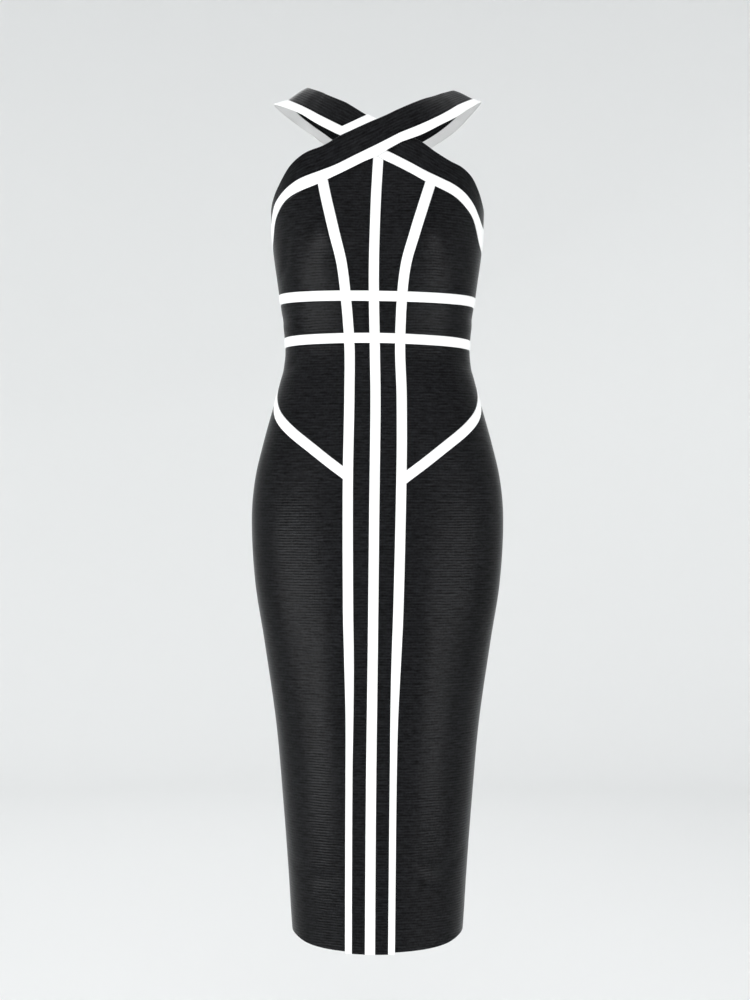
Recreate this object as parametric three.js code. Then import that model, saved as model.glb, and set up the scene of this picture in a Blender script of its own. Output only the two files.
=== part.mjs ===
import * as THREE from "three";

// A close-fitting midi dress of black ribbed knit, shaped by white knit strips set in along its
// princess lines, waist and hips, with two wide straps that cross at the front and at the back.
// Millimetres, +Z up, the front faces -Y. The origin lies on the shoulder line, midway between the straps.

// Driving sizes
const PANEL_WALL = 1.6;
const STRIP_WALL = 2.2;
const STRIP_WIDTH = 13.4;
const SEAM_GAP = 0.3;
const FACET_ROUND = 17;
const FACET_BODICE = 18;
const FACET_SKIRT = 40;
const SKIRT_TOP = -530;
const HIP_COLUMNS = 11;
const CUP_DEPTH = 15;
const THIGH_DEPTH = 6;
const STRAP_LIFT = 2.9;
const CROSSING_BAND = { width: 11.4, lift: 2.6 };
const GORE_DROP = 2.5;
const DEGREE = Math.PI / 180;

// Finishes
const BLACK_KNIT = { color: 0x1c1e20, roughness: 0.72, metalness: 0 };
const WHITE_KNIT = { color: 0xeeeeec, roughness: 0.85, metalness: 0 };

function rows(columns, data) {
  return data.map((row) => Object.fromEntries(columns.map((column, k) => [column, row[k]])));
}

// Sections of the hollow body, from the hem up: half width, depth to the front and to the back,
// and how square each half of the section is
const BODY = rows(["height", "half", "front", "back", "frontSquare", "backSquare"], [
  [-1160, 111, 89, 80, 2.25, 2.2],
  [-1121, 114.8, 92, 80, 2.25, 2.2],
  [-1050, 119.3, 98, 79, 2.3, 2.2],
  [-957, 126.3, 103, 79, 2.35, 2.2],
  [-850, 136, 104, 82, 2.35, 2.2],
  [-740, 151.9, 105, 92, 2.35, 2.2],
  [-660, 164.5, 104, 103, 2.35, 2.2],
  [-577, 169.2, 102, 112, 2.35, 2.2],
  [-522, 164.8, 100, 110, 2.3, 2.2],
  [-468, 152.3, 97, 98, 2.3, 2.2],
  [-413, 137, 91, 82, 2.25, 2.2],
  [-359, 124.2, 85, 71, 2.2, 2.2],
  [-318, 125.8, 87, 70, 2.25, 2.3],
  [-264, 133, 95, 77, 2.4, 2.5],
  [-207, 140.5, 102, 86, 2.5, 2.7],
  [-150, 143.2, 99, 90, 2.5, 2.9],
  [-100, 143.5, 91, 88, 2.4, 2.9],
  [-60, 141, 79, 80, 2.3, 2.9],
  [-20, 132, 61, 66, 2.2, 2.9],
]);

// The centre line leans to one side as the dress is worn
const CENTRE_LINE = rows(["height", "x"], [
  [-1150, -10], [-920, -8.5], [-740, -6.2], [-550, -4.2], [-420, -2.7],
  [-350, -3.6], [-250, -4.9], [-160, -2.4], [-95, 1.2],
]);

// The princess lines run from the neckline to the hem, alike on both sides of the centre line
const PRINCESS_LINE = rows(["height", "out", "width"], [
  [-1150, 28.2, 8.9],
  [-1000, 28.6, 9],
  [-900, 29, 9.2],
  [-830, 29.4, 10.4],
  [-760, 31, 12.6],
  [-690, 33, 13.4],
  [-520, 35, 13.4],
  [-410, 34.2, 13.4],
  [-350, 33.2, 13.4],
  [-290, 36.2, 13.4],
  [-240, 42, 13.4],
  [-200, 52.8, 13.6],
  [-160, 63.4, 13.8],
  [-120, 73.6, 13.8],
]);

// Heights of the level lines, by the turn in degrees about the body from the front
const UPPER_WAIST = rows(["turn", "height"], [
  [-90, -278.5], [0, -280.8], [90, -283], [180, -281], [270, -278.5],
]);
const LOWER_WAIST = rows(["turn", "height"], [
  [-90, -337], [-55, -335.8], [0, -335.6], [50, -338], [90, -340.5], [180, -338], [270, -337],
]);
const HIP_LINE = rows(["turn", "height"], [
  [15, -528], [33, -501.5], [48, -476.5], [61, -455], [74, -432.5], [90, -400],
]);
const HEM = rows(["turn", "height"], [
  [-90, -1130], [-75, -1132.5], [-57, -1139.5], [-35, -1143.5], [0, -1145.5], [35, -1143.5],
  [57, -1139.5], [75, -1132.5], [90, -1130], [130, -1128], [180, -1127], [230, -1128], [270, -1130],
]);

// Each strap starts at its own side seam, at -90 degrees, and rises over the chest to the other shoulder.
// edge is the free edge of its white border, seam joins border to band, neck is the band's upper edge.
// The row past the side seam mirrors the one before it, so that the lines are level where they meet
const CHEST_COLUMNS = ["turn", "edge", "seam", "neck"];
const SHOULDER_COLUMNS = ["edge", "seam", "neck"];
const OVER_STRAP = {
  name: "over",
  mirrored: false,
  raised: rows(["turn", "lift"], [[-90, 0], [-72, 0], [-68, 0], [-56, 1], [-50, 1], [28, 1]]),
  chest: rows(CHEST_COLUMNS, [
    [-98, -204, -178, -155],
    [-90, -211, -183, -159],
    [-82, -204, -178, -155],
    [-77, -195, -165, -147.5],
    [-72, -175, -152, -137],
    [-66, -160.5, -142.5, -121.5],
    [-60, -150.9, -134.4, -104.5],
    [-52, -143, -125, -90.5],
    [-42, -135.4, -117.6, -82.4],
    [-32, -125.5, -109.8, -70],
    [-20, -113.8, -98.3, -59.8],
    [-10, -104.9, -89.8, -52.7],
    [0, -98, -81.9, -46.3],
    [10, -88.1, -74, -40.3],
    [20, -79.1, -66, -33.8],
  ]),
  shoulder: rows(SHOULDER_COLUMNS, [
    [[58, -79, -67.5], [54, -76, -54.5], [46, -63, -23]],
    [[85, -71, -52.3], [76, -69, -43], [62, -55, -15]],
    [[106, -59, -39.5], [94, -59, -31.7], [76, -45, -9]],
    [[121, -45, -27.5], [109, -43, -20.6], [88, -34, -3.2]],
    [[141, 0, -10.5], [130, 0, -6.5], [103, 0, 5.5]],
  ]),
};
const UNDER_STRAP = {
  name: "under",
  mirrored: true,
  raised: rows(["turn", "lift"], [[-90, 0], [90, 0]]),
  chest: rows(CHEST_COLUMNS, [
    [-98, -214.5, -184, -157.5],
    [-90, -219, -187, -161],
    [-82, -214.5, -184, -157.5],
    [-76, -210, -180, -149],
    [-71, -200, -171, -136],
    [-65, -177, -155.5, -118.5],
    [-59, -162.2, -142.8, -107.8],
    [-52, -149.3, -132.7, -100.8],
    [-44, -140.5, -124.9, -89.6],
    [-36, -132.7, -117, -76.5],
    [-26, -121.1, -106, -67],
    [-15, -110.3, -95.6, -58.5],
    [-4, -101.3, -86.5, -50],
    [7, -90.5, -77, -42.8],
    [18, -80.3, -66.5, -34.2],
    [28, -71.5, -58.6, -26.2],
    [37, -64, -51.2, -19.2],
  ]),
  shoulder: rows(SHOULDER_COLUMNS, [
    [[81.5, -66, -49.5], [76, -64, -38.7], [67, -47, -8]],
    [[100.5, -58, -37], [88.5, -56, -31], [70.5, -43, -5.5]],
    [[120, -41, -26], [105, -41, -20.5], [81.5, -33, 0.5]],
    [[141, 0, -13.5], [122, 0, -8], [95, 0, 9.5]],
  ]),
};

// A smooth reading between the rows of a table
function reading(table, key, column, at) {
  const last = table.length - 1;
  let k = 0;
  while (k < last - 1 && at > table[k + 1][key]) {
    k += 1;
  }
  const slope = (row) => {
    const before = table[Math.max(0, row - 1)];
    const after = table[Math.min(last, row + 1)];
    return (after[column] - before[column]) / (after[key] - before[key]);
  };
  const span = table[k + 1][key] - table[k][key];
  const t = THREE.MathUtils.clamp((at - table[k][key]) / span, 0, 1);
  const start = (1 + 2 * t) * (1 - t) ** 2 * table[k][column] + t * (1 - t) ** 2 * span * slope(k);
  const end = t * t * (3 - 2 * t) * table[k + 1][column] - t * t * (1 - t) * span * slope(k + 1);
  return start + end;
}

function swell(value, centre, spread) {
  return Math.exp(-(((value - centre) / spread) ** 2));
}

// A point of the body's form: turn is 0 at the front, 90 at the wearer's left side, 180 at the back
function bodyPoint(turn, height) {
  const side = Math.sin(turn * DEGREE);
  const forward = Math.cos(turn * DEGREE);
  const half = reading(BODY, "height", "half", height);
  const depth = reading(BODY, "height", forward > 0 ? "front" : "back", height);
  const square = reading(BODY, "height", forward > 0 ? "frontSquare" : "backSquare", height);
  const radius = ((Math.abs(forward) / depth) ** square + (Math.abs(side) / half) ** square) ** (-1 / square);
  const x = radius * side;
  let y = -radius * forward;
  if (forward > 0) {
    const cup = CUP_DEPTH * swell(Math.abs(x), 66, 36) * swell(height, -196, 46);
    const thigh = THIGH_DEPTH * swell(Math.abs(x), 64, 36) * swell(height, -780, 190);
    y -= (cup + thigh) * forward * (2 - forward);
  }
  return new THREE.Vector3(x, y, height);
}

function skinPoint(turn, height, lift) {
  const round = bodyPoint(turn + 0.3, height).sub(bodyPoint(turn - 0.3, height));
  const upward = bodyPoint(turn, height + 0.5).sub(bodyPoint(turn, height - 0.5));
  return bodyPoint(turn, height).addScaledVector(round.cross(upward).normalize(), lift);
}

// The turn at which the front of the body has a given x
function turnAt(x, height) {
  let low = -90;
  let high = 90;
  for (let step = 0; step < 30; step += 1) {
    const middle = (low + high) / 2;
    if (bodyPoint(middle, height).x < x) {
      low = middle;
    } else {
      high = middle;
    }
  }
  return (low + high) / 2;
}

// Upright seam lines: side is -1, 0 or 1 for the two princess lines and the centre line,
// offset is the distance from the middle of the strip, measured square to it
function lineX(side, height) {
  return reading(CENTRE_LINE, "height", "x", height) + side * reading(PRINCESS_LINE, "height", "out", height);
}

function stripHalf(side, height) {
  return (side === 0 ? STRIP_WIDTH : reading(PRINCESS_LINE, "height", "width", height)) / 2;
}

function uprightEdge(side, hand, gap) {
  return (height) => {
    const lean = (lineX(side, height + 2) - lineX(side, height - 2)) / 4;
    const offset = (stripHalf(side, height) + gap) * Math.sqrt(1 + lean * lean);
    return turnAt(lineX(side, height) + hand * offset, height);
  };
}

// Level seam lines: a distance above a line, measured square to it
function besideLine(heightOf, distance) {
  return (turn) => {
    const height = heightOf(turn);
    const run = bodyPoint(turn + 0.5, height).distanceTo(bodyPoint(turn - 0.5, height));
    const climb = heightOf(turn + 0.5) - heightOf(turn - 0.5);
    return height + distance * Math.sqrt(1 + (climb / run) ** 2);
  };
}

const upperWaist = (turn) => reading(UPPER_WAIST, "turn", "height", turn);
const lowerWaist = (turn) => reading(LOWER_WAIST, "turn", "height", turn);
const hipLine = (turn) => reading(HIP_LINE, "turn", "height", Math.abs(turn));
const hem = (turn) => reading(HEM, "turn", "height", turn);
const goreHem = (turn) => hem(turn) - GORE_DROP;

// The bodice ends at the lower strap edge, at the front and, folded over, at the back. It runs on
// a little under the over strap, where that strap is lifted to pass over the other one
const TUCK = rows(["turn", "depth"], [[-90, 0], [-60, 0], [-55, 0], [-49, 4], [-44, 4], [28, 4]]);
function neckline(turn) {
  const folded = turn > 90 ? 180 - turn : turn;
  return Math.min(
    reading(OVER_STRAP.chest, "turn", "edge", folded) + reading(TUCK, "turn", "depth", folded),
    reading(UNDER_STRAP.chest, "turn", "edge", -folded),
  );
}

const HALF_STRIP = STRIP_WIDTH / 2;
const aboveUpperWaist = besideLine(upperWaist, HALF_STRIP + SEAM_GAP);
const belowUpperWaist = besideLine(upperWaist, -HALF_STRIP - SEAM_GAP);
const aboveLowerWaist = besideLine(lowerWaist, HALF_STRIP + SEAM_GAP);
const belowLowerWaist = besideLine(lowerWaist, -HALF_STRIP - SEAM_GAP);
const aboveHip = besideLine(hipLine, HALF_STRIP + SEAM_GAP);
const belowHip = besideLine(hipLine, -HALF_STRIP - SEAM_GAP);
const belowNeckline = besideLine(neckline, -SEAM_GAP);

// A closed wall from its inner and outer points, laid out in rows from foot to head
function closedWall(inner, outer, reversed) {
  const rowCount = inner.length;
  const columnCount = inner[0].length;
  const points = [...inner.flat(), ...outer.flat()];
  const layer = rowCount * columnCount;
  const at = (row, column, side) => side * layer + row * columnCount + column;
  const triangles = [];
  const quad = (a, b, c, d) => {
    triangles.push(...(reversed ? [a, c, b, a, d, c] : [a, b, c, a, c, d]));
  };
  for (let row = 0; row < rowCount - 1; row += 1) {
    for (let column = 0; column < columnCount - 1; column += 1) {
      quad(at(row, column, 1), at(row, column + 1, 1), at(row + 1, column + 1, 1), at(row + 1, column, 1));
      quad(at(row, column, 0), at(row + 1, column, 0), at(row + 1, column + 1, 0), at(row, column + 1, 0));
    }
  }
  for (let column = 0; column < columnCount - 1; column += 1) {
    const top = rowCount - 1;
    quad(at(0, column, 0), at(0, column + 1, 0), at(0, column + 1, 1), at(0, column, 1));
    quad(at(top, column, 1), at(top, column + 1, 1), at(top, column + 1, 0), at(top, column, 0));
  }
  for (let row = 0; row < rowCount - 1; row += 1) {
    const far = columnCount - 1;
    quad(at(row, 0, 0), at(row, 0, 1), at(row + 1, 0, 1), at(row + 1, 0, 0));
    quad(at(row, far, 1), at(row, far, 0), at(row + 1, far, 0), at(row + 1, far, 1));
  }
  const geometry = new THREE.BufferGeometry();
  geometry.setAttribute("position", new THREE.Float32BufferAttribute(points.flatMap((p) => p.toArray()), 3));
  geometry.setIndex(triangles);
  return geometry;
}

const dress = new THREE.Group();

function addPiece(name, finish, geometry) {
  const mesh = new THREE.Mesh(geometry, new THREE.MeshStandardMaterial(finish));
  mesh.name = name;
  dress.add(mesh);
}

// The place where an upright edge meets a level one, found by halving the way to it at each step
function corner(upright, level, start) {
  let height = start;
  for (let step = 0; step < 50; step += 1) {
    height = (height + level(upright(height))) / 2;
  }
  return { turn: upright(height), height };
}

function evenly(count) {
  return Array.from({ length: count + 1 }, (_, k) => k / count);
}

// The chest is measured at even turns; a piece's own end stands at least END_ROOM from the next one
const CHEST_STEP = 5;
const END_ROOM = 1.2;
const MEAN_RADIUS = 120;

// A piece of cloth between four seam lines: left and right give a turn at a height,
// foot and head give a height at a turn
function addCloth(name, finish, lines) {
  const { left, right, foot, head, middle, columns, matchHead = false, wall = PANEL_WALL, lift = 0 } = lines;
  const footLeft = corner(left, foot, middle);
  const footRight = corner(right, foot, middle);
  const headLeft = corner(left, head, middle);
  const headRight = corner(right, head, middle);
  const footEnds = [footLeft, footRight].map((end) => bodyPoint(end.turn, end.height));
  const width = footEnds[0].distanceTo(footEnds[1]);
  const tall = Math.max(headLeft.height - footLeft.height, headRight.height - footRight.height);
  const turned = Math.max(headRight.turn - headLeft.turn, footRight.turn - footLeft.turn);
  const broad = turned * DEGREE * MEAN_RADIUS;
  let across = evenly(columns ?? Math.max(1, Math.round(Math.max(width, broad) / FACET_ROUND)));
  if (matchHead) {
    const span = headRight.turn - headLeft.turn;
    const first = Math.ceil((headLeft.turn + END_ROOM) / CHEST_STEP);
    const last = Math.floor((headRight.turn - END_ROOM) / CHEST_STEP);
    const between = [];
    for (let k = first; k <= last; k += 1) {
      between.push((k * CHEST_STEP - headLeft.turn) / span);
    }
    across = [0, ...between, 1];
  }
  const facet = footLeft.height < SKIRT_TOP ? FACET_SKIRT : FACET_BODICE;
  const up = evenly(Math.max(1, Math.round(tall / facet)));
  const mix = THREE.MathUtils.lerp;
  const layer = (offset) => up.map((v) => {
    const heightLeft = mix(footLeft.height, headLeft.height, v);
    const heightRight = mix(footRight.height, headRight.height, v);
    const edgeLeft = { turn: left(heightLeft), height: heightLeft };
    const edgeRight = { turn: right(heightRight), height: heightRight };
    return across.map((u) => {
      const footTurn = mix(footLeft.turn, footRight.turn, u);
      const headTurn = mix(headLeft.turn, headRight.turn, u);
      const blended = (part, footValue, headValue) => (
        mix(edgeLeft[part], edgeRight[part], u) + mix(footValue, headValue, v)
        - mix(mix(footLeft[part], footRight[part], u), mix(headLeft[part], headRight[part], u), v)
      );
      const turn = blended("turn", footTurn, headTurn);
      const height = blended("height", foot(footTurn), head(headTurn));
      return skinPoint(turn, height, offset);
    });
  });
  addPiece(name, finish, closedWall(layer(lift), layer(lift + wall), false));
}

// A strip is thicker than the panels and starts from the same inner face
function addStrip(name, lines) {
  addCloth(name, WHITE_KNIT, { ...lines, wall: STRIP_WALL });
}

const SIDE_GAP = (SEAM_GAP / 2 / 140) / DEGREE;
const atTurn = (turn) => () => turn;
const leftSeam = atTurn(-90 + SIDE_GAP);
const rightSeam = atTurn(90 - SIDE_GAP);
const SIDES = [
  { word: "left", side: -1, seam: leftSeam },
  { word: "right", side: 1, seam: rightSeam },
];

// For a mirrored pair, the inner line is toward the centre and the outer line toward the side seam
function between(side, inner, outer) {
  return side < 0 ? { left: outer, right: inner } : { left: inner, right: outer };
}

// Front panels and the strips between them
const centreSpans = [
  { word: "bust", foot: aboveUpperWaist, head: belowNeckline, middle: -250 },
  { word: "waist", foot: aboveLowerWaist, head: belowUpperWaist, middle: -310 },
  { word: "skirt", foot: goreHem, head: belowLowerWaist, middle: -700 },
];
for (const { word, ...span } of centreSpans) {
  addStrip(`centre_strip_${word}`, { ...span, left: uprightEdge(0, -1, 0), right: uprightEdge(0, 1, 0) });
  for (const { word: hand, side } of SIDES) {
    const matchHead = word === "bust";
    addStrip(`princess_strip_${word}_${hand}`, {
      ...span, ...between(side, uprightEdge(side, -side, 0), uprightEdge(side, side, 0)),
    });
    const centreEdges = between(side, uprightEdge(0, side, SEAM_GAP), uprightEdge(side, -side, SEAM_GAP));
    addCloth(`front_${word}_centre_${hand}`, BLACK_KNIT, { ...span, matchHead, ...centreEdges });
  }
}
for (const { word: hand, side, seam } of SIDES) {
  const outward = between(side, uprightEdge(side, side, SEAM_GAP), seam);
  addCloth(`front_bust_side_${hand}`, BLACK_KNIT, {
    ...outward, foot: aboveUpperWaist, head: belowNeckline, matchHead: true, middle: -250,
  });
  addCloth(`front_waist_side_${hand}`, BLACK_KNIT, {
    ...outward, foot: aboveLowerWaist, head: belowUpperWaist, middle: -310,
  });
  const hipLines = { ...outward, columns: HIP_COLUMNS };
  addCloth(`front_hip_yoke_${hand}`, BLACK_KNIT, {
    ...hipLines, foot: aboveHip, head: belowLowerWaist, middle: -400,
  });
  addCloth(`front_skirt_side_${hand}`, BLACK_KNIT, { ...hipLines, foot: hem, head: belowHip, middle: -800 });
  addStrip(`hip_strip_${hand}`, {
    ...hipLines, foot: besideLine(hipLine, -HALF_STRIP), head: besideLine(hipLine, HALF_STRIP), middle: -450,
  });
}

// Level waist strips run right across the front and, in halves, across the back
const BACK_HALVES = [
  { word: "right", left: atTurn(90 + SIDE_GAP), right: atTurn(180 - SIDE_GAP) },
  { word: "left", left: atTurn(180 + SIDE_GAP), right: atTurn(270 - SIDE_GAP) },
];
const WAIST_LINES = [
  { word: "upper", line: upperWaist, middle: -280 },
  { word: "lower", line: lowerWaist, middle: -337 },
];
for (const { word, line, middle } of WAIST_LINES) {
  const level = { foot: besideLine(line, -HALF_STRIP), head: besideLine(line, HALF_STRIP), middle };
  addStrip(`${word}_waist_strip_front`, { ...level, left: leftSeam, right: rightSeam });
  for (const { word: hand, left, right } of BACK_HALVES) {
    addStrip(`${word}_waist_strip_back_${hand}`, { ...level, left, right });
  }
}

// Plain back panels either side of the centre back seam
for (const { word: hand, left, right } of BACK_HALVES) {
  const panel = (name, lines) => addCloth(`back_${name}_${hand}`, BLACK_KNIT, { left, right, ...lines });
  panel("bodice", { foot: aboveUpperWaist, head: belowNeckline, matchHead: true, middle: -250 });
  panel("waist", { foot: aboveLowerWaist, head: belowUpperWaist, middle: -310 });
  panel("skirt", { foot: hem, head: belowLowerWaist, middle: -800 });
}

// Stations along a strap: on the chest they stand at even turns, over the shoulder they follow its rows
const SHOULDER_STEPS = 2;
const BAND_CROWN = 0.9;
const BACK_DEPTH = 1.04;
const SEAM_ROOM = SEAM_GAP / 2;
const SHOULDER_ROOM = 0.35;

function strapStations(strap, columns, back) {
  const [lower, upper] = columns;
  const stations = [];
  const lastTurn = strap.chest.at(-1).turn;
  const rounds = upper === "neck" ? 3 : 1;
  const across = evenly(rounds);
  const place = (own, height, offset) => {
    const turn = strap.mirrored ? -own : own;
    return skinPoint(back ? 180 - turn : turn, height, offset);
  };
  const heights = (own) => {
    const line = (column) => (turn) => reading(strap.chest, "turn", column, turn);
    const foot = besideLine(line(lower), lower === "edge" ? 0 : SEAM_ROOM)(own);
    const head = besideLine(line(upper), upper === "neck" ? 0 : -SEAM_ROOM)(own);
    return across.map((v) => THREE.MathUtils.lerp(foot, head, v));
  };
  const turns = [];
  for (let own = -90; own < lastTurn; own += CHEST_STEP) {
    turns.push(own === -90 ? own + SIDE_GAP : own);
  }
  turns.push(lastTurn);
  for (const own of turns) {
    const lift = STRAP_LIFT * reading(strap.raised, "turn", "lift", own);
    const levels = heights(own);
    stations.push({ lift, at: (k, offset) => place(own, levels[k], offset) });
  }
  return { stations, across };
}

function addStrap(strap, word, finish, columns, wall, back) {
  const { stations, across } = strapStations(strap, columns, back);
  const [lower, upper] = columns;
  const mirrorX = strap.mirrored ? -1 : 1;
  const mirrorY = back ? -1 : 1;
  const depthScale = back ? BACK_DEPTH : 1;
  const controls = strap.shoulder.map((row) => {
    const corners = [row[lower], row[upper]].map(([x, y, z]) => (
      new THREE.Vector3(x * mirrorX, y * mirrorY * depthScale, z)
    ));
    const width = corners[0].distanceTo(corners[1]);
    return across.map((v) => {
      const lowInset = lower === "edge" ? 0 : SHOULDER_ROOM;
      const highInset = upper === "neck" ? 0 : SHOULDER_ROOM;
      const inset = THREE.MathUtils.lerp(lowInset, width - highInset, v);
      return corners[0].clone().lerp(corners[1], inset / width);
    });
  });
  controls.at(-1).forEach((point) => {
    point.y -= SEAM_ROOM * mirrorY;
  });
  // Each rail runs on over the shoulder ridge, so that it is level where it crosses it
  const chestEnd = stations.slice(-2);
  const rails = across.map((_, k) => {
    const beyond = controls.at(-2)[k].clone();
    beyond.y *= -1;
    const before = chestEnd.map((station) => station.at(k, 0));
    const through = [...before, ...controls.map((row) => row[k]), beyond];
    return new THREE.CatmullRomCurve3(through, false, "centripetal");
  });
  const spans = controls.length + 2;
  const shoulder = [];
  for (let step = 1; step <= controls.length * SHOULDER_STEPS; step += 1) {
    const along = (1 + step / SHOULDER_STEPS) / spans;
    shoulder.push(rails.map((rail) => rail.getPoint(along)));
  }
  // Grid of points, with the band crowned a little between its edges over the shoulder
  const grid = [...stations.map((station) => across.map((_, k) => station.at(k, 0))), ...shoulder];
  const last = grid.length - 1;
  const turnedOver = mirrorX * mirrorY < 0;
  const normalAt = (i, k) => {
    const run = grid[Math.min(last, i + 1)][k].clone().sub(grid[Math.max(0, i - 1)][k]);
    const rise = grid[i][across.length - 1].clone().sub(grid[i][0]);
    return run.cross(rise).normalize().multiplyScalar(turnedOver ? -1 : 1);
  };
  const raisedAt = (i) => {
    if (i < stations.length) {
      return stations[i].lift;
    }
    const fade = (i - stations.length + 1) / (shoulder.length * 0.5);
    return stations.at(-1).lift * Math.max(0, 1 - fade);
  };
  // The crown is full at two thirds of the way to the neck edge and dies out at both edges
  const crownAt = (v) => (upper === "neck" ? BAND_CROWN * v * v * (1 - v) * 27 / 4 : 0);
  const layer = (offset) => across.map((v, k) => grid.map((column, i) => {
    if (i < stations.length) {
      return stations[i].at(k, raisedAt(i) + offset);
    }
    return column[k].clone().addScaledVector(normalAt(i, k), raisedAt(i) + offset + crownAt(v));
  }));
  const name = `${strap.name}_strap_${word}_${back ? "back" : "front"}`;
  addPiece(name, finish, closedWall(layer(0), layer(wall), turnedOver));
}

for (const strap of [OVER_STRAP, UNDER_STRAP]) {
  for (const back of [false, true]) {
    addStrap(strap, "border", WHITE_KNIT, ["edge", "seam"], STRIP_WALL, back);
    addStrap(strap, "band", BLACK_KNIT, ["seam", "neck"], PANEL_WALL, back);
  }
}

// A short white band lies right across the under strap, along the upper edge of the over strap,
// and its two ends follow the edges of the under strap
const CROSSING_LEFT = rows(["height", "turn"], [[-69, -31], [-63, -37.8]]);
const CROSSING_RIGHT = rows(["height", "turn"], [[-47, -0.9], [-40.2, -10.5]]);
const overNeck = (turn) => reading(OVER_STRAP.chest, "turn", "neck", turn);
addCloth("crossing_band", WHITE_KNIT, {
  left: (height) => reading(CROSSING_LEFT, "height", "turn", height),
  right: (height) => reading(CROSSING_RIGHT, "height", "turn", height),
  foot: besideLine(overNeck, SEAM_GAP),
  head: besideLine(overNeck, SEAM_GAP + CROSSING_BAND.width),
  lift: CROSSING_BAND.lift,
  middle: -50,
});

export default dress;
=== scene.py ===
import math

import bmesh
import bpy
import numpy as np
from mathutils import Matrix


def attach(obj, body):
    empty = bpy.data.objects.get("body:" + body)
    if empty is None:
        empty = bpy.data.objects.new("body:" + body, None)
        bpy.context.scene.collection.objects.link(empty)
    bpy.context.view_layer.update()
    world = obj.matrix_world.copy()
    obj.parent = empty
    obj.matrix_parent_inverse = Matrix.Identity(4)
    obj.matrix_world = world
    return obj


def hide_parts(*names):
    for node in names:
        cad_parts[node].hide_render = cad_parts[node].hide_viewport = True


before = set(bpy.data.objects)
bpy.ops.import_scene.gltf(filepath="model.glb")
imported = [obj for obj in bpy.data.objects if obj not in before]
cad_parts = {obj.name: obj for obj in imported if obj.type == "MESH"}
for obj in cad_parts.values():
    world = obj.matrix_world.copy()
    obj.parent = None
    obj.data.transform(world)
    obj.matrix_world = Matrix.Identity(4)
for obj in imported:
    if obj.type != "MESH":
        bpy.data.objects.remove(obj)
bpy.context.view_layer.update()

# The studio
# A level camera stands 2.8 m in front of the dress, at the height of the hips. The floor sweeps up
# into a pale wall all round, and soft lamps stand at both sides, in front, behind and overhead.
CAMERA_DISTANCE = 2.8
CAMERA_SIDE = -0.0034
CAMERA_HEIGHT = -0.5494
CAMERA_LENS = 74.12

camera_data = bpy.data.cameras.new("studio_camera")
camera_data.lens = CAMERA_LENS
camera_data.sensor_width = 36
camera = bpy.data.objects.new("studio_camera", camera_data)
camera.location = (CAMERA_SIDE, -CAMERA_DISTANCE, CAMERA_HEIGHT)
camera.rotation_euler = (math.pi / 2, 0, 0)
bpy.context.scene.collection.objects.link(camera)
bpy.context.scene.camera = camera

STUDIO_RADIUS = 4.6
STUDIO_BEND = 1.1
STUDIO_TOP = 2.6
FLOOR_HEIGHT = -1.42
BEND_STEPS = 16
ROUND_STEPS = 96
BACKDROP_COLOUR = (0.86, 0.868, 0.864, 1)

sweep = bmesh.new()
bend_start = STUDIO_RADIUS - STUDIO_BEND
profile = [sweep.verts.new((reach, 0, FLOOR_HEIGHT)) for reach in (0, bend_start / 2, bend_start)]
for step in range(1, BEND_STEPS + 1):
    angle = math.pi / 2 * step / BEND_STEPS
    reach = bend_start + STUDIO_BEND * math.sin(angle)
    profile.append(sweep.verts.new((reach, 0, FLOOR_HEIGHT + STUDIO_BEND * (1 - math.cos(angle)))))
profile.append(sweep.verts.new((STUDIO_RADIUS, 0, STUDIO_TOP)))
rim = [sweep.edges.new(pair) for pair in zip(profile, profile[1:])]
bmesh.ops.spin(
    sweep, geom=profile + rim, cent=(0, 0, 0), axis=(0, 0, 1), angle=math.tau, steps=ROUND_STEPS,
    use_merge=True,
)
bmesh.ops.remove_doubles(sweep, verts=sweep.verts, dist=0.0001)
bmesh.ops.recalc_face_normals(sweep, faces=sweep.faces)
backdrop_mesh = bpy.data.meshes.new("backdrop")
sweep.to_mesh(backdrop_mesh)
sweep.free()
backdrop_mesh.shade_smooth()
backdrop = bpy.data.objects.new("backdrop", backdrop_mesh)
bpy.context.scene.collection.objects.link(backdrop)
paper = bpy.data.materials.new("backdrop_paper")
paper.use_nodes = True
paper_shader = paper.node_tree.nodes["Principled BSDF"]
paper_shader.inputs["Base Color"].default_value = BACKDROP_COLOUR
paper_shader.inputs["Roughness"].default_value = 0.95
paper_shader.inputs["Specular IOR Level"].default_value = 0.1
backdrop_mesh.materials.append(paper)

LAMP_TARGET = (0, 0, -0.55)
LAMPS = [
    # name, place, wide, tall, power
    ("left_lamp", (-2.35, -1.72, -1.1), 2.1, 0.58, 51),
    ("right_lamp", (2.15, -1.95, -1.1), 2.0, 0.58, 36),
    ("front_lamp", (0.2, -3.2, 1.5), 1.6, 1.6, 10),
    ("back_lamp", (-0.9, 3.4, 1.6), 1.8, 1.8, 22),
    ("top_lamp", (0.0, 0.4, 2.4), 2.6, 2.6, 46),
]
for lamp_name, place, wide, tall, power in LAMPS:
    lamp_data = bpy.data.lights.new(lamp_name, "AREA")
    lamp_data.shape = "RECTANGLE"
    lamp_data.size = wide
    lamp_data.size_y = tall
    lamp_data.energy = power
    lamp = bpy.data.objects.new(lamp_name, lamp_data)
    lamp.location = place
    lamp.visible_camera = False
    aim = np.array(LAMP_TARGET) - np.array(place)
    lamp.rotation_euler = (
        math.acos(-aim[2] / np.linalg.norm(aim)),
        0,
        math.atan2(aim[1], aim[0]) - math.pi / 2,
    )
    bpy.context.scene.collection.objects.link(lamp)

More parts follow.
